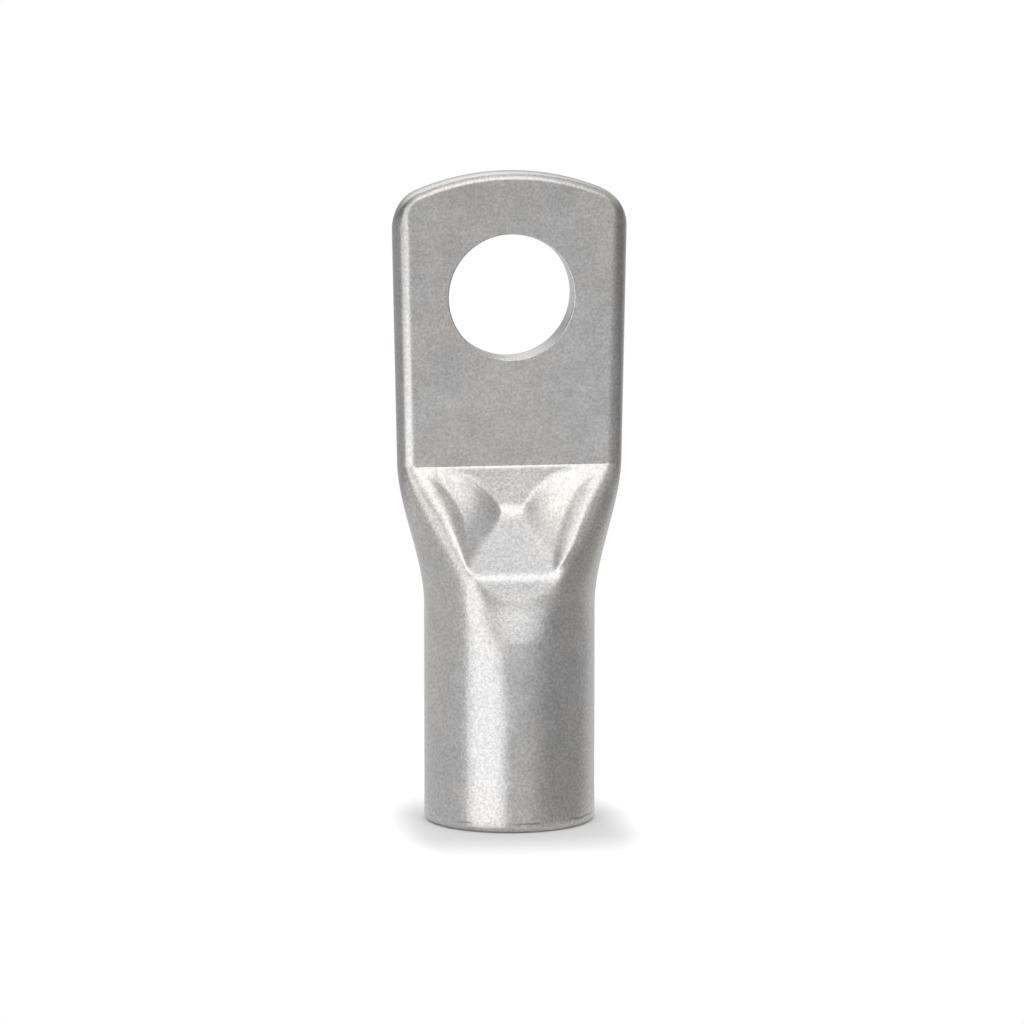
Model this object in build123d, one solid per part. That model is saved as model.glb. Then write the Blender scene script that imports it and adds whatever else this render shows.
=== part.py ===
"""Tinned copper cable lug: a tube whose upper half is pressed flat into a palm with a stud hole.

Millimetres, +Z up. The origin is the centre of the barrel's open end, which stands on Z = 0.
The punched side of the neck faces -Y, and the palm lies in the XZ plane.
"""
from build123d import *
import math
import os

# Tube and barrel
BARREL_DIAMETER = 14.3
WALL = 1.45
MOUTH_OUTER_ROUND = 0.5
MOUTH_INNER_CHAMFER = 0.3

# Palm
PALM_THICKNESS = 2.9
PALM_WIDTH_AT_NECK = 18.9
PALM_WIDTH_AT_TOP = 19.8
CROWN_RADIUS = 20.3
CORNER_RADIUS = 3.4
PALM_EDGE_ROUND = 0.6
STUD_HOLE_DIAMETER = 10.5
STUD_HOLE_BELOW_TOP = 10.4

# Lengths along the lug, from the press line across the foot of the palm
PALM_LENGTH = 24.6
BARREL_END_BELOW_PRESS_LINE = 30.2
FLARE_END_ABOVE_PRESS_LINE = 0.6
FLARE_LENGTH = 12.6
FLATTENING_LENGTH = 10.2
NECK_LENGTH = 14.4

# Neck, between the round barrel and the flat palm
FRONT_ARC_ANGLE = 38.0
NECK_STEPS = 30
CAVITY_STEPS = 10
SIDE_POINTS = 8
FRONT_POINTS = 28
TANGENT_SHARE = 0.001
CAVITY_TIP_BELOW_PRESS_LINE = 0.6
CAVITY_TIP_GAP = 0.12

# Imprint of the punch. Depths are measured forwards from the palm's middle plane.
WAIST_BELOW_PRESS_LINE = 3.8
WAIST_DEPTH = 2.0
WAIST_HALF_WIDTH = 1.4
WAIST_BLEND = 0.5
LIP_BELOW_WAIST = 4.7
LIP_DEPTH = 6.1
LIP_HALF_WIDTH = 3.4
LIP_BLEND = 0.15
HOLLOW_START_BELOW_WAIST = 0.7
HOLLOW_SIDE_SLOPE = 0.33
HOLLOW_DOWN_SLOPE = 0.64
BROW_SLOPE = 0.36
BROW_ARC = 5.9
BROW_ARC_REACH = 2.1
VALLEY_BLEND = 0.25
BLEND_GAIN_INSIDE = 0.4
CREASE_SLOPE = 0.17
CREASE_FLARE = 4.0
CREASE_FLARE_REACH = 1.0
WALL_SLOPE = 0.4
RIDGE_BLEND = 1.0
RIDGE_RUN_IN = 2.0
LIP_CORNER_BLEND = 0.25
LIP_CORNER_REACH = 3.0
PUNCH_LEAN = 0.15

# Flattened front of the barrel under the imprint's lip
LIP_FALL = 0.3
LIP_FALL_REACH = 0.7
FRONT_SLOPE = 0.15
FRONT_CURVE = 0.02

BARREL_RADIUS = BARREL_DIAMETER / 2
BORE_RADIUS = BARREL_RADIUS - WALL
PALM_HALF = PALM_THICKNESS / 2
PALM_HALF_WIDTH = PALM_WIDTH_AT_NECK / 2
PALM_HALF_WIDTH_TOP = PALM_WIDTH_AT_TOP / 2
PRESS_LINE = BARREL_END_BELOW_PRESS_LINE
OVERALL_LENGTH = PRESS_LINE + PALM_LENGTH
CORNER_HEIGHT = OVERALL_LENGTH - CROWN_RADIUS + math.sqrt(CROWN_RADIUS**2 - PALM_HALF_WIDTH_TOP**2)
NECK_START = PRESS_LINE - NECK_LENGTH
LIP_BELOW_PRESS_LINE = WAIST_BELOW_PRESS_LINE + LIP_BELOW_WAIST
TONGUE_SLOPE = (WAIST_DEPTH - PALM_HALF) / WAIST_BELOW_PRESS_LINE
RAMP_SLOPE = (LIP_DEPTH - WAIST_DEPTH) / LIP_BELOW_WAIST


def smooth_min(a, b, blend):
    """The lesser of two depths, with a rounded change between them."""
    if abs(a - b) >= blend:
        return min(a, b)
    return min(a, b) - (blend - abs(a - b)) ** 2 / (4 * blend)


def smooth_max(a, b, blend):
    """The greater of two depths, with a rounded change between them."""
    return -smooth_min(-a, -b, blend)


def ease(value, start, end):
    """Smooth step from 0 at the start to 1 at the end."""
    t = min(max((value - start) / (end - start), 0), 1)
    return t * t * (3 - 2 * t)


def widened(height):
    """Share of the widening from barrel to palm at a height: it is whole at the press line."""
    end = PRESS_LINE + FLARE_END_ABOVE_PRESS_LINE
    start = end - FLARE_LENGTH
    return ease(height, start, end) / ease(PRESS_LINE, start, end)


def flattened(height):
    """Share of the flattening at a height: soft at the barrel, and a bend where it meets the palm."""
    t = max(height - PRESS_LINE + FLATTENING_LENGTH, 0) / FLATTENING_LENGTH
    return t * t * (2 - t)


def moved_in(depth, inset, side_slope, down_slope):
    """Depth of a sloping face that is moved into the metal by the inset."""
    return depth - inset * math.sqrt(1 + side_slope**2 + down_slope**2)


def imprint(x, height, inset):
    """Depth of the face that the punch leaves: tongue, waist, ramp, two hollows and their walls."""
    down = PRESS_LINE - height
    below_waist = down - WAIST_BELOW_PRESS_LINE
    tongue = PALM_HALF + TONGUE_SLOPE * down
    ramp = WAIST_DEPTH + RAMP_SLOPE * below_waist
    lean = PUNCH_LEAN * (max(tongue, ramp) - PALM_HALF)
    side = abs(x + lean)
    below_start = below_waist - HOLLOW_START_BELOW_WAIST
    hollow = WAIST_DEPTH + RAMP_SLOPE * HOLLOW_START_BELOW_WAIST + HOLLOW_DOWN_SLOPE * below_start
    hollow = hollow + HOLLOW_SIDE_SLOPE * (side - WAIST_HALF_WIDTH)
    brow = tongue + BROW_SLOPE * (down - BROW_ARC * math.exp(-side / BROW_ARC_REACH))
    tongue = moved_in(tongue, inset, 0, TONGUE_SLOPE)
    ramp = moved_in(ramp, inset, 0, RAMP_SLOPE)
    hollow = moved_in(hollow, inset, HOLLOW_SIDE_SLOPE, HOLLOW_DOWN_SLOPE)
    brow = moved_in(brow, inset, 0, TONGUE_SLOPE + BROW_SLOPE)
    valley_blend = VALLEY_BLEND + BLEND_GAIN_INSIDE * inset
    floor = smooth_max(tongue, ramp, WAIST_BLEND + BLEND_GAIN_INSIDE * inset)
    floor = smooth_max(floor, hollow, valley_blend)
    floor = smooth_max(floor, brow, valley_blend)
    crease = LIP_HALF_WIDTH + CREASE_SLOPE * (LIP_BELOW_PRESS_LINE - down)
    crease = crease + CREASE_FLARE * math.exp(-down / CREASE_FLARE_REACH)
    return floor + WALL_SLOPE * smooth_max(side - crease, 0, valley_blend)


def flat_front(height, inset):
    """Depth of the flattened front under the lip, which fades into the round barrel."""
    below = PRESS_LINE - height - LIP_BELOW_PRESS_LINE
    fall = LIP_FALL * math.tanh(below / LIP_FALL_REACH)
    return LIP_DEPTH - inset + fall + FRONT_SLOPE * below + FRONT_CURVE * max(below, 0) ** 2


def ridge_blend(height):
    """Rounding where the imprint meets the tube: none at the press line, broad on the ridges, small at the lip."""
    down = PRESS_LINE - height
    blend = RIDGE_BLEND * min(down / RIDGE_RUN_IN, 1)
    near_lip = ease(abs(down - LIP_BELOW_PRESS_LINE), LIP_CORNER_REACH, 0)
    return blend + (LIP_CORNER_BLEND - blend) * near_lip


def pressed(x, depth, height, inset, least_depth):
    """Depth of the pressed surface where the unpressed one has the given depth."""
    face = flat_front(height, inset)
    if height > PRESS_LINE - LIP_BELOW_PRESS_LINE - LIP_BLEND:
        face = smooth_min(imprint(x, height, inset), face, LIP_BLEND)
    rounded = smooth_min(depth, face, ridge_blend(height))
    return max(rounded, min(depth, least_depth))


def section(height, inset=0, least_depth=0):
    """Closed section of the tube at a height: tangent arcs, with the imprint in the front half."""
    angle = math.radians(FRONT_ARC_ANGLE * (1 - widened(height)))
    half_width = BARREL_RADIUS + (PALM_HALF_WIDTH - BARREL_RADIUS) * widened(height) - inset
    half_depth = BARREL_RADIUS + (PALM_HALF - BARREL_RADIUS) * flattened(height) - inset
    half_depth = max(half_depth, least_depth)
    tangent = math.tan(angle / 2)
    side_radius = (half_depth - half_width * tangent) / (math.cos(angle) - (1 - math.sin(angle)) * tangent)
    side_centre = half_width - side_radius
    x = side_centre + side_radius * math.sin(angle)
    y = side_radius * math.cos(angle)
    middle = math.pi / 4 - angle / 2
    x_middle = side_centre + side_radius * math.cos(middle)
    y_middle = side_radius * math.sin(middle)
    edges = [
        ThreePointArc((-half_width, 0), (-x_middle, -y_middle), (-x, -y)),
        Line((-x, -y), (x, -y)) if angle == 0 else ThreePointArc((-x, -y), (0, -half_depth), (x, -y)),
        ThreePointArc((x, -y), (x_middle, -y_middle), (half_width, 0)),
        ThreePointArc((half_width, 0), (x_middle, y_middle), (x, y)),
        Line((x, y), (-x, y)) if angle == 0 else ThreePointArc((x, y), (0, half_depth), (-x, y)),
        ThreePointArc((-x, y), (-x_middle, y_middle), (-half_width, 0)),
    ]
    if NECK_START < height < PRESS_LINE:
        for index, count in enumerate((SIDE_POINTS, FRONT_POINTS, SIDE_POINTS)):
            edges[index] = pressed_edge(edges[index], count, height, inset, least_depth)
    return Pos(0, 0, height) * make_face(edges)


def pressed_edge(edge, count, height, inset, least_depth):
    """An edge of the section's front half as the punch leaves it."""

    def point(share):
        place = edge.position_at(share)
        return Vector(place.X, -pressed(place.X, -place.Y, height, inset, least_depth))

    shares = [i / count for i in range(count + 1)]
    start = (point(TANGENT_SHARE) - point(0)).normalized()
    end = (point(1) - point(1 - TANGENT_SHARE)).normalized()
    return Edge.make_spline([point(share) for share in shares], tangents=[start, end], parameters=shares)


def neck(inset, top, least_depth, steps):
    """The pressed tube between barrel and palm, with its surface moved in by the inset."""
    rise = (top - NECK_START) / steps
    heights = [NECK_START + rise * step for step in range(steps)] + [top]
    return loft([section(height, inset, least_depth) for height in heights])


def palm_outline():
    """Front outline of the palm: straight sides, a crowned top and round corners."""
    base = Polyline(
        (-PALM_HALF_WIDTH_TOP, CORNER_HEIGHT),
        (-PALM_HALF_WIDTH, PRESS_LINE),
        (PALM_HALF_WIDTH, PRESS_LINE),
        (PALM_HALF_WIDTH_TOP, CORNER_HEIGHT),
    )
    crown = ThreePointArc((PALM_HALF_WIDTH_TOP, CORNER_HEIGHT), (0, OVERALL_LENGTH), (-PALM_HALF_WIDTH_TOP, CORNER_HEIGHT))
    face = make_face([base, crown])
    corners = face.vertices().group_by(Axis.Y)[-1]
    return fillet(corners, CORNER_RADIUS)


def palm():
    """Flat palm: full-round sides from the folded tube, and a rounded sheared top end."""
    plate = extrude(Plane.XZ * palm_outline(), PALM_HALF, both=True)
    top_edges = plate.edges().filter_by(Plane.XZ).filter_by(lambda edge: edge.center().Z > PRESS_LINE + 1)
    plate = fillet(top_edges, PALM_EDGE_ROUND)
    foot = Pos(0, 0, PRESS_LINE) * SlotOverall(PALM_WIDTH_AT_NECK, PALM_THICKNESS)
    spread = PALM_HALF_WIDTH_TOP - PALM_HALF_WIDTH
    rise = CORNER_HEIGHT - PRESS_LINE
    right = extrude(foot, amount=OVERALL_LENGTH, dir=(spread, 0, rise))
    left = extrude(foot, amount=OVERALL_LENGTH, dir=(-spread, 0, rise))
    return plate & (right + left)


def lug():
    """The whole lug as one solid: pressed tube, open barrel, cavity that closes at the palm, hole."""
    barrel = Pos(0, 0, NECK_START / 2) * Cylinder(BARREL_RADIUS, NECK_START)
    barrel = fillet(barrel.edges().group_by(Axis.Z)[0], MOUTH_OUTER_ROUND)
    outside = barrel + neck(0, PRESS_LINE, 0, NECK_STEPS) + palm()
    bore = Pos(0, 0, NECK_START / 2) * Cylinder(BORE_RADIUS, NECK_START)
    countersink = Cone(BORE_RADIUS + MOUTH_INNER_CHAMFER, BORE_RADIUS, MOUTH_INNER_CHAMFER)
    bore = bore + Pos(0, 0, MOUTH_INNER_CHAMFER / 2) * countersink
    cavity = bore + neck(WALL, PRESS_LINE - CAVITY_TIP_BELOW_PRESS_LINE, CAVITY_TIP_GAP / 2, CAVITY_STEPS)
    stud_hole = Rot(90, 0, 0) * Cylinder(STUD_HOLE_DIAMETER / 2, 2 * PALM_THICKNESS)
    stud_hole = Pos(0, 0, OVERALL_LENGTH - STUD_HOLE_BELOW_TOP) * stud_hole
    return outside - cavity - stud_hole


os.makedirs("parts", exist_ok=True)
lug_body = lug()
lug_body.label = "lug_body"
export_step(lug_body, "parts/lug_body.step")
print("solids", len(lug_body.solids()), "valid", lug_body.is_valid, "volume", round(lug_body.volume, 1))
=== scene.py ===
"""Tinned copper cable lug standing on its barrel end, on a white floor under soft studio light."""
import math

import bmesh
import bpy
import numpy as np
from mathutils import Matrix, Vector
from mathutils.geometry import delaunay_2d_cdt

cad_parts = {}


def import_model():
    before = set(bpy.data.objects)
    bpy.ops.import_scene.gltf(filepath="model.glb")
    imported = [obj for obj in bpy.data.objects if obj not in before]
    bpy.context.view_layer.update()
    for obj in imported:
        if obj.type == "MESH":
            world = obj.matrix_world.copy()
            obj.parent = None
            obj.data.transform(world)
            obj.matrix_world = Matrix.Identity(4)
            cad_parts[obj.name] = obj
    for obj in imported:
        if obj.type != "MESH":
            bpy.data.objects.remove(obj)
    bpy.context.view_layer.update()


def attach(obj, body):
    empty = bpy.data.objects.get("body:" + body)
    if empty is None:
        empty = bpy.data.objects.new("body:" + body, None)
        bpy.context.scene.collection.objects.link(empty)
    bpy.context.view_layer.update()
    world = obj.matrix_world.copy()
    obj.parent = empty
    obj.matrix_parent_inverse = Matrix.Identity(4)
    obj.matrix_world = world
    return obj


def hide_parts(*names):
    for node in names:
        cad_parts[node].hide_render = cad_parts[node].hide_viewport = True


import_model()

MM = 0.001

# The tube and the palm, in millimetres and degrees, as in the solid
BARREL_RADIUS = 7.15
WALL = 1.45
MOUTH_OUTER_ROUND = 0.5
MOUTH_INNER_CHAMFER = 0.3
PALM_HALF = 1.45
PALM_HALF_WIDTH = 9.45
PALM_HALF_WIDTH_TOP = 9.9
CROWN_RADIUS = 20.3
CORNER_RADIUS = 3.4
PALM_EDGE_ROUND = 0.6
HOLE_RADIUS = 5.25
HOLE_HEIGHT = 44.4
NECK_START = 15.8
FLARE_START = 18.2
FLARE_END = 30.8
FLATTENING_START = 20.0
PRESS_LINE = 30.2
FRONT_ARC_ANGLE = 38.0
CAVITY_TIP = 29.6
CAVITY_TIP_HALF_GAP = 0.06

# The scene's own: a round at the hole's rims, and a top just inside the solid's box
HOLE_RIM = 0.12
TOP = 54.79

# The punch's imprint, in millimetres and slopes; where it isn't as in the solid, it follows the photo
WAIST_HEIGHT = 26.4
WAIST_DEPTH = 2.0
WAIST_HALF_WIDTH = 1.4
WAIST_BLEND = 0.5
LIP_HEIGHT = 21.7
LIP_DEPTH = 5.95
LIP_HALF_WIDTH = 3.4
LIP_BLEND = 0.12
LIP_CORNER_BLEND = 0.25
LIP_CORNER_REACH = 3.0
LIP_FALL = 0.12
LIP_FALL_REACH = 0.4
HOLLOW_START_BELOW_WAIST = 0.7
HOLLOW_SIDE_SLOPE = 0.33
HOLLOW_DOWN_SLOPE = 0.64
BROW_SLOPE = 0.36
BROW_ARC = 5.9
BROW_ARC_REACH = 2.1
VALLEY_BLEND = 0.2
BLEND_GAIN_INSIDE = 0.4
CREASE_SLOPE = 0.17
CREASE_FLARE = 4.2
CREASE_FLARE_REACH = 1.35
WALL_SLOPE = 0.4
RIDGE_BLEND = 1.0
RIDGE_RUN_IN = 2.0
PUNCH_LEAN = 0.15
FRONT_SLOPE = 0.1
FRONT_CURVE = 0.02
PRESS_STEP = 0.06
PRESS_STEP_LENGTH = 0.08
PRESS_STEP_FADE = 1.2
ARC_STEP = 0.04
ARC_STEP_RISE = 0.06
ARC_STEP_FADE = 2.0

# The mesh: columns round the tube, and rows as (height to reach, number of heights with the one before)
FRONT_COLUMNS = 260
SIDE_COLUMNS = 30
BACK_COLUMNS = 36
INNER_ROWS = ((18.0, 36), (MOUTH_INNER_CHAMFER, 6))
OUTER_ROWS = ((16.0, 6), (25.4, 80), (29.8, 64), (PRESS_LINE, 15))
MOUTH_STEPS = 8
PALM_SIDE_STEPS = 70
PALM_CORNER_STEPS = 30
PALM_CROWN_STEPS = 40
EDGE_CHANGE = (0.05, 0.9)
EDGE_FLAT_SPREAD = 4
HOLE_COLUMNS = 128
HOLE_RIM_STEPS = 6
HOLE_WALL_ROWS = 8
TRIANGULATION_GAP = 1e-6
WELD_DISTANCE = 1e-7
FLAT_NORMAL = 0.99999

# The tin: noise as (scale, detail, roughness), bands as parts of the noise's range, places in millimetres
GRAIN = (4300.0, 2.0, 0.75)
GRAIN_BAND = (0.33, 0.67)
GRAIN_SHADES = (0.79, 1.15)
GRAIN_DEPTH = 0.000012
PALM_GRAIN_SHARE = 0.85
PALM_GRAIN_HEIGHTS = (28, 32)
MOTTLE = (420.0, 4.0, 0.6)
MOTTLE_BAND = (0.3, 0.7)
MOTTLE_SHADES = (0.93, 1.05)
MOTTLE_ROUGHNESS = (0.17, 0.26)
TINT = (110.0, 2.0, 0.5)
TINT_BAND = (0.4, 0.6)
COOL_TIN = (0.535, 0.535, 0.54, 1)
WARM_TIN = (0.56, 0.54, 0.515, 1)
# Painted shade on the rounded side edges, from RIM_EDGE outwards
RIM_PAINTED_SHADE = 0.72
RIM_EDGE = (8.6, 9.2)
# Painted shading: the palm lighter near the press line and darker towards the top
PALM_PAINTED_SHADING = (1.06, 0.94)
MOUTH_LINE = 0.95
MOUTH_LINE_LOWER_EDGE = (0, 0.12)
MOUTH_LINE_UPPER_EDGE = (0.3, 0.15)
MOUTH_LINE_SWAY = 0.6
MOUTH_LINE_NOISE = (700.0, 3.0, 0.6)
MOUTH_LINE_PATCHES = (260.0, 2.0, 0.5)
MOUTH_LINE_PATCH_BAND = (0.45, 0.6)
MOUTH_LINE_COLOUR = (0.55, 0.52, 0.5, 1)

# The camera, in degrees and metres
VIEW_AZIMUTH = -7.5
VIEW_ELEVATION = 9.4
CAMERA_DISTANCE = 0.837
CAMERA_AIM_HEIGHT = 0.02603
CAMERA_AIM_RIGHT = 0.00022
CAMERA_LENS = 351.6
CAMERA_SENSOR = 36.0
CAMERA_REACH = 10

# The studio that the metal shows: azimuths in degrees from the camera's, soft edges along a unit direction
ROOM = 0.7
DARK_SIDE = 0.41
DARK_SIDE_AZIMUTH = 80
DARK_SIDE_EDGE = (0.45, 0.95)
SKY_SHADE = 0.64
HORIZON = (-0.1, 0.1)
KEY = 0.92
KEY_LEFT_AZIMUTH = -58
KEY_RIGHT_AZIMUTH = -6
KEY_SIDE_EDGE = (-0.15, 0.15)
KEY_TOP_EDGE = (0.7, 0.2)
ABOVE = 1.5
ABOVE_LOWER_EDGE = (-0.14, 0.40)
ABOVE_UPPER_EDGE = (1.28, 0.62)
ABOVE_LEFT_EDGE = (-0.9, 0.1)
ABOVE_RIGHT_EDGE = (0.68, 0.05)
ABOVE_AT_RIGHT = 0.22
ABOVE_BACK_EDGE = (-0.9, -0.5)
ABOVE_BEHIND = 0.7
ABOVE_BEHIND_EDGE = (0.02, 0.3)

# The floor, in metres
FLOOR_RADIUS = 0.06
FLOOR_CORNERS = 96
FLOOR_FADE_START = 0.4
FLOOR_WHITE = 0.85
FLOOR_GLOW = 0.42
# Painted shadow: the floor's glow near the lug, and the oval over which it rises to FLOOR_GLOW
PAINTED_SHADOW_GLOW = 0.02
REFLECTED_FLOOR = (0.0073, 0.0105)
SHADOW_SIDEWAYS = (0.007, 0.0125)
SHADOW_FORWARDS = (0.0036, 0.0185)
SHADOW_SHIFT = 0.0035


def smooth_min(a, b, blend):
    """The lesser of two depths, with a rounded change between them."""
    near = np.maximum(blend - np.abs(a - b), 0)
    return np.minimum(a, b) - near * near / (4 * np.maximum(blend, 1e-9))


def smooth_max(a, b, blend):
    """The greater of two depths, with a rounded change between them."""
    return -smooth_min(-a, -b, blend)


def ease(value, start, end):
    """A smooth change from 0 to 1 as a value goes from start to end."""
    t = min(max((value - start) / (end - start), 0.0), 1.0)
    return t * t * (3 - 2 * t)


def widened(height):
    """Share of the way from the barrel's width to the palm's, by height."""
    return ease(height, FLARE_START, FLARE_END) / ease(PRESS_LINE, FLARE_START, FLARE_END)


def flattened(height):
    """Share of the way from the barrel's depth to the palm's, by height."""
    t = max(height - FLATTENING_START, 0) / (PRESS_LINE - FLATTENING_START)
    return t * t * (2 - t)


def imprint(x, height, inset):
    """Depth of the face that the punch leaves: tongue, waist, ramp, two hollows and their walls."""

    def moved_in(depth, side_slope, down_slope):
        return depth - inset * math.sqrt(1 + side_slope**2 + down_slope**2)

    gain = BLEND_GAIN_INSIDE * inset
    valley = VALLEY_BLEND + gain
    down = PRESS_LINE - height
    below_waist = WAIST_HEIGHT - height
    tongue_slope = (WAIST_DEPTH - PALM_HALF) / (PRESS_LINE - WAIST_HEIGHT)
    ramp_slope = (LIP_DEPTH - WAIST_DEPTH) / (WAIST_HEIGHT - LIP_HEIGHT)
    tongue = PALM_HALF + tongue_slope * down
    ramp = WAIST_DEPTH + ramp_slope * below_waist
    lean = PUNCH_LEAN * (max(tongue, ramp) - PALM_HALF)
    side = np.abs(x + lean)
    below_start = below_waist - HOLLOW_START_BELOW_WAIST
    hollow = WAIST_DEPTH + ramp_slope * HOLLOW_START_BELOW_WAIST + HOLLOW_DOWN_SLOPE * below_start
    hollow = hollow + HOLLOW_SIDE_SLOPE * (side - WAIST_HALF_WIDTH)
    brow = tongue + BROW_SLOPE * (down - BROW_ARC * np.exp(-side / BROW_ARC_REACH))
    depth = smooth_max(moved_in(tongue, 0, tongue_slope), moved_in(ramp, 0, ramp_slope), WAIST_BLEND + gain)
    depth = smooth_max(depth, moved_in(hollow, HOLLOW_SIDE_SLOPE, HOLLOW_DOWN_SLOPE), valley)
    depth = smooth_max(depth, moved_in(brow, 0, tongue_slope + BROW_SLOPE), valley)
    if not inset:
        step = PRESS_STEP * (1 - math.exp(-down / PRESS_STEP_LENGTH))
        depth = depth + step * math.exp(-down / PRESS_STEP_FADE)
        past_arc = np.clip((brow - np.maximum(tongue, np.maximum(ramp, hollow))) / ARC_STEP_RISE, 0, 1)
        step = ARC_STEP * past_arc * past_arc * (3 - 2 * past_arc)
        depth = depth + step * math.exp(-down / ARC_STEP_FADE)
    crease = LIP_HALF_WIDTH + CREASE_SLOPE * (height - LIP_HEIGHT)
    crease = crease + CREASE_FLARE * math.exp(-down / CREASE_FLARE_REACH)
    return depth + WALL_SLOPE * smooth_max(side - crease, 0, valley)


def flat_front(height, inset):
    """Depth of the flattened front under the lip, which fades into the round barrel."""
    below = LIP_HEIGHT - height
    fall = LIP_FALL * math.tanh(below / LIP_FALL_REACH)
    return LIP_DEPTH - inset + fall + FRONT_SLOPE * below + FRONT_CURVE * max(below, 0) ** 2


def ridge_blend(height):
    """Rounding where imprint and tube meet: none at the press line, broad on the ridges, small at the lip."""
    blend = RIDGE_BLEND * min((PRESS_LINE - height) / RIDGE_RUN_IN, 1)
    near_lip = ease(abs(height - LIP_HEIGHT), LIP_CORNER_REACH, 0)
    return blend + (LIP_CORNER_BLEND - blend) * near_lip


def section(height, inset=0.0):
    """Closed section of the tube at a height: four tangent arcs, with the imprint in the front."""
    angle = math.radians(FRONT_ARC_ANGLE * (1 - widened(height)))
    half_width = BARREL_RADIUS + (PALM_HALF_WIDTH - BARREL_RADIUS) * widened(height) - inset
    half_depth = BARREL_RADIUS + (PALM_HALF - BARREL_RADIUS) * flattened(height) - inset
    half_depth = max(half_depth, CAVITY_TIP_HALF_GAP)
    tangent = math.tan(angle / 2)
    radius = (half_depth - half_width * tangent) / (math.cos(angle) - (1 - math.sin(angle)) * tangent)
    reach = half_width - radius * (1 - math.sin(angle))
    sagitta = half_depth - radius * math.cos(angle)
    curvature = 2 * sagitta / (reach**2 + sagitta**2)

    def long_arc(x):
        return half_depth - curvature * x**2 / (1 + np.sqrt(1 - (curvature * x) ** 2))

    x_front = np.linspace(-reach, reach, FRONT_COLUMNS, endpoint=False)
    x_back = np.linspace(reach, -reach, BACK_COLUMNS, endpoint=False)
    swing = np.linspace(-1, 1, SIDE_COLUMNS, endpoint=False) * (math.pi / 2 - angle)
    x_side = half_width - radius + radius * np.cos(swing)
    y_side = radius * np.sin(swing)
    x = np.concatenate([x_front, x_side, x_back, -x_side])
    y = np.concatenate([-long_arc(x_front), y_side, long_arc(x_back), -y_side])
    if NECK_START < height < PRESS_LINE:
        front = y < 0
        face = flat_front(height, inset)
        if height > LIP_HEIGHT - LIP_BLEND:
            face = smooth_min(imprint(x[front], height, inset), face, LIP_BLEND)
        pressed = smooth_min(-y[front], face, ridge_blend(height))
        y[front] = -np.maximum(pressed, CAVITY_TIP_HALF_GAP if inset else -1)
    return np.stack([x, y, np.full_like(x, height)], axis=1)


def ring(radius, height):
    """A round ring with the section's columns, for the mouth."""
    points = section(0.0)
    points[:, :2] *= (radius / np.hypot(points[:, 0], points[:, 1]))[:, None]
    points[:, 2] = height
    return points


def heights(start, rows):
    """Evenly spaced heights from a start through each of the rows' ends, without the start itself."""
    found = []
    for end, count in rows:
        found += list(np.linspace(start, end, count)[1:])
        start = end
    return found


class Skin:
    """Collects vertices and faces of one closed mesh."""

    def __init__(self):
        self.verts = []
        self.faces = []
        self.count = 0

    def add(self, points):
        """Add a row of points and give their numbers."""
        start = self.count
        self.verts.append(points)
        self.count += len(points)
        return list(range(start, self.count))

    def bridge(self, rows, closed=True):
        """Four-sided faces between each row and the next."""
        for low, high in zip(rows, rows[1:]):
            n = len(low)
            for i in range(n if closed else n - 1):
                j = (i + 1) % n
                self.faces.append((low[i], low[j], high[j], high[i]))


def tube(skin):
    """The cavity down to the mouth, then barrel and neck up to the press line; gives the last row."""
    rows = [skin.add(section(CAVITY_TIP, WALL))]
    for height in heights(CAVITY_TIP, INNER_ROWS):
        rows.append(skin.add(section(height, WALL)))
    rows.append(skin.add(ring(BARREL_RADIUS - WALL + MOUTH_INNER_CHAMFER, 0.0)))
    for i in range(MOUTH_STEPS + 1):
        a = math.pi / 2 * i / MOUTH_STEPS
        radius = BARREL_RADIUS - MOUTH_OUTER_ROUND + MOUTH_OUTER_ROUND * math.sin(a)
        rows.append(skin.add(ring(radius, MOUTH_OUTER_ROUND * (1 - math.cos(a)))))
    for height in heights(MOUTH_OUTER_ROUND, OUTER_ROWS):
        rows.append(skin.add(section(height)))
    skin.bridge(rows)
    skin.faces.append(tuple(rows[0]))
    return rows[-1]


def palm_outline():
    """Outline of the palm, up the right side, over the crown and down the left, with its normals."""
    crown_centre = TOP - CROWN_RADIUS
    corner_height = crown_centre + math.sqrt(CROWN_RADIUS**2 - PALM_HALF_WIDTH_TOP**2)
    side = Vector((PALM_HALF_WIDTH_TOP - PALM_HALF_WIDTH, corner_height - PRESS_LINE)).normalized()
    inward = Vector((-side.y, side.x))
    # The corner's centre lies CORNER_RADIUS inside both the side line and the crown arc
    base = Vector((PALM_HALF_WIDTH, PRESS_LINE)) + inward * CORNER_RADIUS
    reach = CROWN_RADIUS - CORNER_RADIUS
    to_base = base - Vector((0, crown_centre))
    b = to_base.dot(side)
    along = -b + math.sqrt(b * b - to_base.dot(to_base) + reach * reach)
    centre = base + side * along
    points, normals = [], []
    for i in range(PALM_SIDE_STEPS):
        points.append(Vector((PALM_HALF_WIDTH, PRESS_LINE)) + side * along * i / PALM_SIDE_STEPS)
        normals.append(-inward)
    start = math.atan2(-inward.y, -inward.x)
    end = math.atan2(centre.y - crown_centre, centre.x)
    for i in range(PALM_CORNER_STEPS):
        a = start + (end - start) * i / PALM_CORNER_STEPS
        normals.append(Vector((math.cos(a), math.sin(a))))
        points.append(centre + normals[-1] * CORNER_RADIUS)
    for i in range(PALM_CROWN_STEPS + 1):
        a = end + (math.pi / 2 - end) * i / PALM_CROWN_STEPS
        normals.append(Vector((math.cos(a), math.sin(a))))
        points.append(Vector((0, crown_centre)) + normals[-1] * CROWN_RADIUS)
    for i in range(len(points) - 2, -1, -1):
        points.append(Vector((-points[i].x, points[i].y)))
        normals.append(Vector((-normals[i].x, normals[i].y)))
    return points, normals


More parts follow.
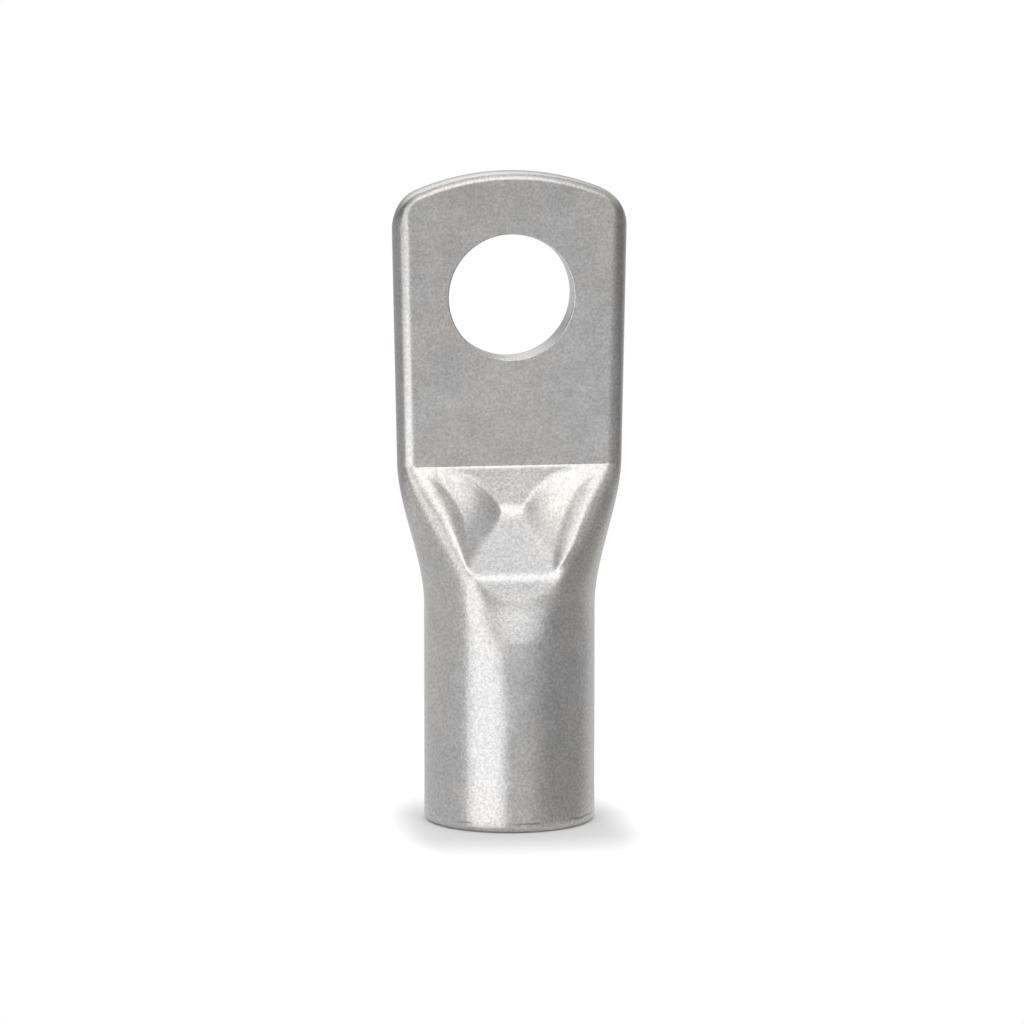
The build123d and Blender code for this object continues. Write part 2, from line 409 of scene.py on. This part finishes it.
def palm_rim(skin, top):
    """The palm's edge, fully round at the sides and with two small rounds over the crown."""
    points, normals = palm_outline()
    rows = []
    for point, normal in zip(points[1:-1], normals[1:-1]):
        radius = PALM_HALF + (PALM_EDGE_ROUND - PALM_HALF) * ease(normal.y, *EDGE_CHANGE)
        row = []
        for swing in np.linspace(-1, 1, SIDE_COLUMNS + 1):
            a = swing * math.pi / 2
            flat = math.copysign(PALM_HALF - radius, swing) * min(abs(swing) * EDGE_FLAT_SPREAD, 1)
            inset = radius * (1 - math.cos(a))
            row.append((point.x - normal.x * inset, radius * math.sin(a) + flat, point.y - normal.y * inset))
        rows.append(skin.add(np.array(row)))
    right = top[FRONT_COLUMNS:FRONT_COLUMNS + SIDE_COLUMNS + 1]
    left_start = FRONT_COLUMNS + SIDE_COLUMNS + BACK_COLUMNS
    left = (top[left_start:] + top[:1])[::-1]
    skin.bridge([right] + rows + [left], closed=False)
    return rows


def hole_wall(skin):
    """The stud hole's wall between its two rounded rims, from front to back."""
    quarter = [math.pi / 2 * i / HOLE_RIM_STEPS for i in range(HOLE_RIM_STEPS + 1)]
    front, back = HOLE_RIM - PALM_HALF, PALM_HALF - HOLE_RIM
    profile = [(HOLE_RADIUS + HOLE_RIM * (1 - math.sin(a)), front - HOLE_RIM * math.cos(a)) for a in quarter]
    profile += [(HOLE_RADIUS, y) for y in np.linspace(front, back, HOLE_WALL_ROWS)[1:-1]]
    profile += [(HOLE_RADIUS + HOLE_RIM * (1 - math.cos(a)), back + HOLE_RIM * math.sin(a)) for a in quarter]
    turn = np.arange(HOLE_COLUMNS) / HOLE_COLUMNS * 2 * math.pi
    rows = []
    for radius, y in profile:
        x, z = radius * np.cos(turn), HOLE_HEIGHT + radius * np.sin(turn)
        rows.append(skin.add(np.stack([x, np.full(HOLE_COLUMNS, y), z], axis=1)))
    skin.bridge(rows)
    return rows


def inside(point, loop):
    """Whether a point is inside a closed outline."""
    odd = False
    for a, b in zip(loop, loop[1:] + loop[:1]):
        if (a.y > point.y) != (b.y > point.y):
            if point.x < (b.x - a.x) * (point.y - a.y) / (b.y - a.y) + a.x:
                odd = not odd
    return odd


def flat_face(skin, points, loop, hole):
    """One flat side of the palm, in triangles between its outline and the hole's rim."""
    ids = loop + hole
    flat = [Vector((points[i][0], points[i][2])) for i in ids]
    n_loop, n_hole = len(loop), len(hole)
    edges = [(i, (i + 1) % n_loop) for i in range(n_loop)]
    edges += [(n_loop + i, n_loop + (i + 1) % n_hole) for i in range(n_hole)]
    corners, _, faces, origins, _, _ = delaunay_2d_cdt(flat, edges, [], 0, TRIANGULATION_GAP)
    for face in faces:
        over_hole = all(origins[i][0] >= n_loop for i in face)
        middle = sum((corners[i] for i in face), Vector((0, 0))) / 3
        if not over_hole and inside(middle, flat[:n_loop]):
            skin.faces.append(tuple(ids[origins[i][0]] for i in face))


def weld(mesh):
    """Join the points that the parts of the skin share, and turn all faces outwards."""
    bm = bmesh.new()
    bm.from_mesh(mesh)
    bmesh.ops.remove_doubles(bm, verts=bm.verts, dist=WELD_DISTANCE)
    bmesh.ops.recalc_face_normals(bm, faces=bm.faces)
    bm.to_mesh(mesh)
    bm.free()


def smooth(mesh):
    """Smooth shading, with the palm's flat sides and the mouth's end kept flat up to their edges."""
    for polygon in mesh.polygons:
        polygon.use_smooth = True
    normals = [None] * len(mesh.loops)
    for polygon in mesh.polygons:
        flat = max(abs(polygon.normal.y), abs(polygon.normal.z)) > FLAT_NORMAL
        for loop in polygon.loop_indices:
            vertex = mesh.vertices[mesh.loops[loop].vertex_index]
            normals[loop] = tuple(polygon.normal if flat else vertex.normal)
    mesh.normals_split_custom_set(normals)


def lug_mesh():
    """The whole lug as one closed mesh."""
    skin = Skin()
    top = tube(skin)
    rim = palm_rim(skin, top)
    hole = hole_wall(skin)
    points = np.concatenate(skin.verts)
    back_start = FRONT_COLUMNS + SIDE_COLUMNS
    front = top[:FRONT_COLUMNS + 1] + [row[0] for row in rim]
    back = top[back_start:back_start + BACK_COLUMNS + 1] + [row[-1] for row in rim[::-1]]
    flat_face(skin, points, front, hole[0])
    flat_face(skin, points, back, hole[-1])
    mesh = bpy.data.meshes.new("lug_surface")
    mesh.from_pydata((points * MM).tolist(), [], skin.faces)
    weld(mesh)
    smooth(mesh)
    return mesh


def node(tree, kind, **values):
    """A new node, with the sockets and settings that are named."""
    made = tree.nodes.new(kind)
    for key, value in values.items():
        if key in made.inputs:
            fill(tree, made.inputs[key], value)
        else:
            setattr(made, key, value)
    return made


def fill(tree, socket, value):
    """Link an output to a socket, or set the socket to a number or colour."""
    if isinstance(value, bpy.types.NodeSocket):
        tree.links.new(value, socket)
    else:
        socket.default_value = value


def maths(tree, operation, *values, use_clamp=False):
    """The result of a Math node."""
    made = node(tree, "ShaderNodeMath", operation=operation, use_clamp=use_clamp)
    for socket, value in zip(made.inputs, values):
        fill(tree, socket, value)
    return made.outputs[0]


def product(tree, first, *others):
    """Several values multiplied."""
    for other in others:
        first = maths(tree, "MULTIPLY", first, other)
    return first


def between(tree, share, start, end):
    """A value that goes from start to end as a share goes from 0 to 1."""
    return maths(tree, "MULTIPLY_ADD", share, end - start, start)


def ramp(tree, value, low, high):
    """A smooth change from 0 to 1 as a value goes from low to high."""
    made = node(tree, "ShaderNodeMapRange", interpolation_type="SMOOTHSTEP")
    for key, filling in (("Value", value), ("From Min", low), ("From Max", high)):
        fill(tree, made.inputs[key], filling)
    return made.outputs["Result"]


def spread(tree, value, band, ends):
    """A straight change from one end to the other as a value goes through a band."""
    made = node(tree, "ShaderNodeMapRange")
    for key, filling in zip(("Value", "From Min", "From Max", "To Min", "To Max"), (value, *band, *ends)):
        fill(tree, made.inputs[key], filling)
    return made.outputs["Result"]


def in_metres(lengths):
    """Lengths in millimetres as metres."""
    return [length * MM for length in lengths]


def grey(value):
    """A neutral colour."""
    return (value, value, value, 1)


def tin_material():
    """Satin tin plating: fine grain, soft warm and cool mottling, painted shade on the rounded side edges,
    painted shading up the palm, a ragged dark line round the mouth.
    """
    material = bpy.data.materials.new("tinned_copper")
    material.use_nodes = True
    tree = material.node_tree
    shader = tree.nodes["Principled BSDF"]
    shader.inputs["Metallic"].default_value = 1.0
    coords = tree.nodes.new("ShaderNodeTexCoord").outputs["Object"]
    place = tree.nodes.new("ShaderNodeSeparateXYZ")
    tree.links.new(coords, place.inputs[0])
    height = place.outputs["Z"]

    def noise(scale, detail, roughness):
        inputs = {"Vector": coords, "Scale": scale, "Detail": detail, "Roughness": roughness}
        return node(tree, "ShaderNodeTexNoise", **inputs).outputs["Fac"]

    def blend(kind, factor, first, second):
        made = node(tree, "ShaderNodeMix", data_type="RGBA", blend_type=kind)
        for index, value in ((0, factor), (6, first), (7, second)):
            fill(tree, made.inputs[index], value)
        return made.outputs[2]

    def shades(value, band, darkest, lightest):
        return blend("MIX", spread(tree, value, band, (0, 1)), grey(darkest), grey(lightest))

    grain = noise(*GRAIN)
    mottle = noise(*MOTTLE)
    colour = blend("MIX", spread(tree, noise(*TINT), TINT_BAND, (0, 1)), COOL_TIN, WARM_TIN)
    colour = blend("MULTIPLY", 1.0, colour, shades(mottle, MOTTLE_BAND, *MOTTLE_SHADES))
    grain_share = spread(tree, height, in_metres(PALM_GRAIN_HEIGHTS), (1.0, PALM_GRAIN_SHARE))
    colour = blend("MULTIPLY", grain_share, colour, shades(grain, GRAIN_BAND, *GRAIN_SHADES))

    # Painted shade: the colour darkens towards the rounded side edges
    rim = ramp(tree, maths(tree, "ABSOLUTE", place.outputs["X"]), *in_metres(RIM_EDGE))
    colour = blend("MULTIPLY", rim, colour, grey(RIM_PAINTED_SHADE))
    # Painted shading: lighter low on the palm, darker towards the top
    palm_painted_shading = spread(tree, height, in_metres((PRESS_LINE, TOP)), PALM_PAINTED_SHADING)
    colour = blend("MULTIPLY", 1.0, colour, palm_painted_shading)

    # A thin dark line round the barrel just above the mouth, ragged and broken
    ragged = maths(tree, "MULTIPLY_ADD", noise(*MOUTH_LINE_NOISE), MOUTH_LINE_SWAY * MM, height)
    lower = ramp(tree, ragged, *in_metres(MOUTH_LINE + edge for edge in MOUTH_LINE_LOWER_EDGE))
    upper = ramp(tree, ragged, *in_metres(MOUTH_LINE + edge for edge in MOUTH_LINE_UPPER_EDGE))
    patches = spread(tree, noise(*MOUTH_LINE_PATCHES), MOUTH_LINE_PATCH_BAND, (0, 1))
    colour = blend("MULTIPLY", product(tree, lower, upper, patches), colour, MOUTH_LINE_COLOUR)

    tree.links.new(colour, shader.inputs["Base Color"])
    tree.links.new(spread(tree, mottle, MOTTLE_BAND, MOTTLE_ROUGHNESS), shader.inputs["Roughness"])
    bump = node(tree, "ShaderNodeBump", Strength=1.0, Distance=GRAIN_DEPTH, Height=grain)
    tree.links.new(bump.outputs["Normal"], shader.inputs["Normal"])
    return material


def world():
    """White for the camera; for the metal a plain room with a tall soft panel at the left and one above."""
    made = bpy.data.worlds.new("studio")
    bpy.context.scene.world = made
    made.use_nodes = True
    tree = made.node_tree
    direction = tree.nodes.new("ShaderNodeTexCoord").outputs["Generated"]
    parts = tree.nodes.new("ShaderNodeSeparateXYZ")
    tree.links.new(direction, parts.inputs[0])
    rightwards, height = parts.outputs["X"], parts.outputs["Z"]

    def towards(azimuth):
        a = math.radians(VIEW_AZIMUTH + azimuth)
        side = node(tree, "ShaderNodeVectorMath", operation="DOT_PRODUCT")
        tree.links.new(direction, side.inputs[0])
        side.inputs[1].default_value = (math.sin(a), -math.cos(a), 0)
        return side.outputs["Value"]

    room = between(tree, ramp(tree, towards(DARK_SIDE_AZIMUTH), *DARK_SIDE_EDGE), ROOM, DARK_SIDE)
    room = product(tree, room, between(tree, ramp(tree, height, *HORIZON), 1, SKY_SHADE))

    key = product(
        tree,
        ramp(tree, towards(KEY_RIGHT_AZIMUTH - 90), *KEY_SIDE_EDGE),
        ramp(tree, towards(KEY_LEFT_AZIMUTH + 90), *KEY_SIDE_EDGE),
        ramp(tree, height, *KEY_TOP_EDGE),
        KEY,
    )

    right_share = maths(tree, "MAXIMUM", ramp(tree, rightwards, *ABOVE_RIGHT_EDGE), ABOVE_AT_RIGHT)
    behind = product(tree, ramp(tree, height, *ABOVE_BEHIND_EDGE), ABOVE_BEHIND)
    back_share = maths(tree, "MAXIMUM", ramp(tree, towards(0), *ABOVE_BACK_EDGE), behind)
    above = product(
        tree,
        ramp(tree, height, *ABOVE_LOWER_EDGE),
        ramp(tree, height, *ABOVE_UPPER_EDGE),
        right_share,
        ramp(tree, rightwards, *ABOVE_LEFT_EDGE),
        back_share,
        ABOVE,
    )

    studio = maths(tree, "ADD", room, maths(tree, "MAXIMUM", key, above))
    path = tree.nodes.new("ShaderNodeLightPath")
    mix = node(tree, "ShaderNodeMix", data_type="RGBA")
    for index, value in ((0, path.outputs["Is Camera Ray"]), (6, studio), (7, grey(1))):
        fill(tree, mix.inputs[index], value)
    tree.links.new(mix.outputs[2], tree.nodes["Background"].inputs["Color"])


def floor_material():
    """White, with a painted shadow by the lug on top of its real one; clear at the rim and, in the metal,
    beyond the foot.
    """
    material = bpy.data.materials.new("floor_white")
    material.use_nodes = True
    tree = material.node_tree
    tree.nodes.clear()
    coords = tree.nodes.new("ShaderNodeTexCoord").outputs["Object"]
    place = tree.nodes.new("ShaderNodeSeparateXYZ")
    tree.links.new(coords, place.inputs[0])

    # Painted shadow: the glow weakens in an oval round the lug, on top of the real shadow that the diffuse
    # part catches
    sideways = maths(tree, "ABSOLUTE", place.outputs["X"])
    forwards = maths(tree, "ABSOLUTE", maths(tree, "ADD", place.outputs["Y"], SHADOW_SHIFT))
    away_x, away_y = ramp(tree, sideways, *SHADOW_SIDEWAYS), ramp(tree, forwards, *SHADOW_FORWARDS)
    away = maths(tree, "ADD", away_x, away_y, use_clamp=True)
    diffuse = node(tree, "ShaderNodeBsdfDiffuse", Color=grey(FLOOR_WHITE))
    glow = node(tree, "ShaderNodeEmission", Strength=between(tree, away, PAINTED_SHADOW_GLOW, FLOOR_GLOW))
    white = tree.nodes.new("ShaderNodeAddShader")
    tree.links.new(diffuse.outputs[0], white.inputs[0])
    tree.links.new(glow.outputs[0], white.inputs[1])

    length = node(tree, "ShaderNodeVectorMath", operation="LENGTH")
    tree.links.new(coords, length.inputs[0])
    distance = length.outputs["Value"]
    glossy = tree.nodes.new("ShaderNodeLightPath").outputs["Is Glossy Ray"]
    far = ramp(tree, distance, FLOOR_FADE_START * FLOOR_RADIUS, FLOOR_RADIUS)
    fade = maths(tree, "MAXIMUM", far, product(tree, ramp(tree, distance, *REFLECTED_FLOOR), glossy))
    clear = tree.nodes.new("ShaderNodeBsdfTransparent")
    mix = tree.nodes.new("ShaderNodeMixShader")
    for index, output in enumerate((fade, white.outputs[0], clear.outputs[0])):
        tree.links.new(output, mix.inputs[index])
    out = tree.nodes.new("ShaderNodeOutputMaterial")
    tree.links.new(mix.outputs[0], out.inputs["Surface"])
    return material


def floor():
    """A round white floor that fades out, so that its edge doesn't show."""
    mesh = bpy.data.meshes.new("floor")
    turn = np.linspace(0, 2 * math.pi, FLOOR_CORNERS, endpoint=False)
    rim = [(FLOOR_RADIUS * math.cos(t), FLOOR_RADIUS * math.sin(t), 0) for t in turn]
    mesh.from_pydata(rim, [], [tuple(range(len(rim)))])
    mesh.materials.append(floor_material())
    made = bpy.data.objects.new("floor", mesh)
    bpy.context.scene.collection.objects.link(made)


def camera():
    """The photo's point of view, from slightly left of the front and slightly above."""
    data = bpy.data.cameras.new("camera")
    data.lens = CAMERA_LENS
    data.sensor_width = CAMERA_SENSOR
    data.clip_end = CAMERA_REACH
    made = bpy.data.objects.new("camera", data)
    bpy.context.scene.collection.objects.link(made)
    a, e = math.radians(VIEW_AZIMUTH), math.radians(VIEW_ELEVATION)
    away = Vector((math.sin(a) * math.cos(e), -math.cos(a) * math.cos(e), math.sin(e)))
    right = Vector((math.cos(a), math.sin(a), 0))
    aim = Vector((0, 0, CAMERA_AIM_HEIGHT)) + right * CAMERA_AIM_RIGHT
    made.location = aim + away * CAMERA_DISTANCE
    made.rotation_euler = away.to_track_quat("Z", "Y").to_euler()
    bpy.context.scene.camera = made


bpy.context.scene.view_settings.view_transform = "Standard"
camera()
lug = bpy.data.objects.new("lug_surface", lug_mesh())
bpy.context.scene.collection.objects.link(lug)
lug.data.materials.append(tin_material())
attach(lug, "root")
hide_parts("lug_body")
world()
floor()
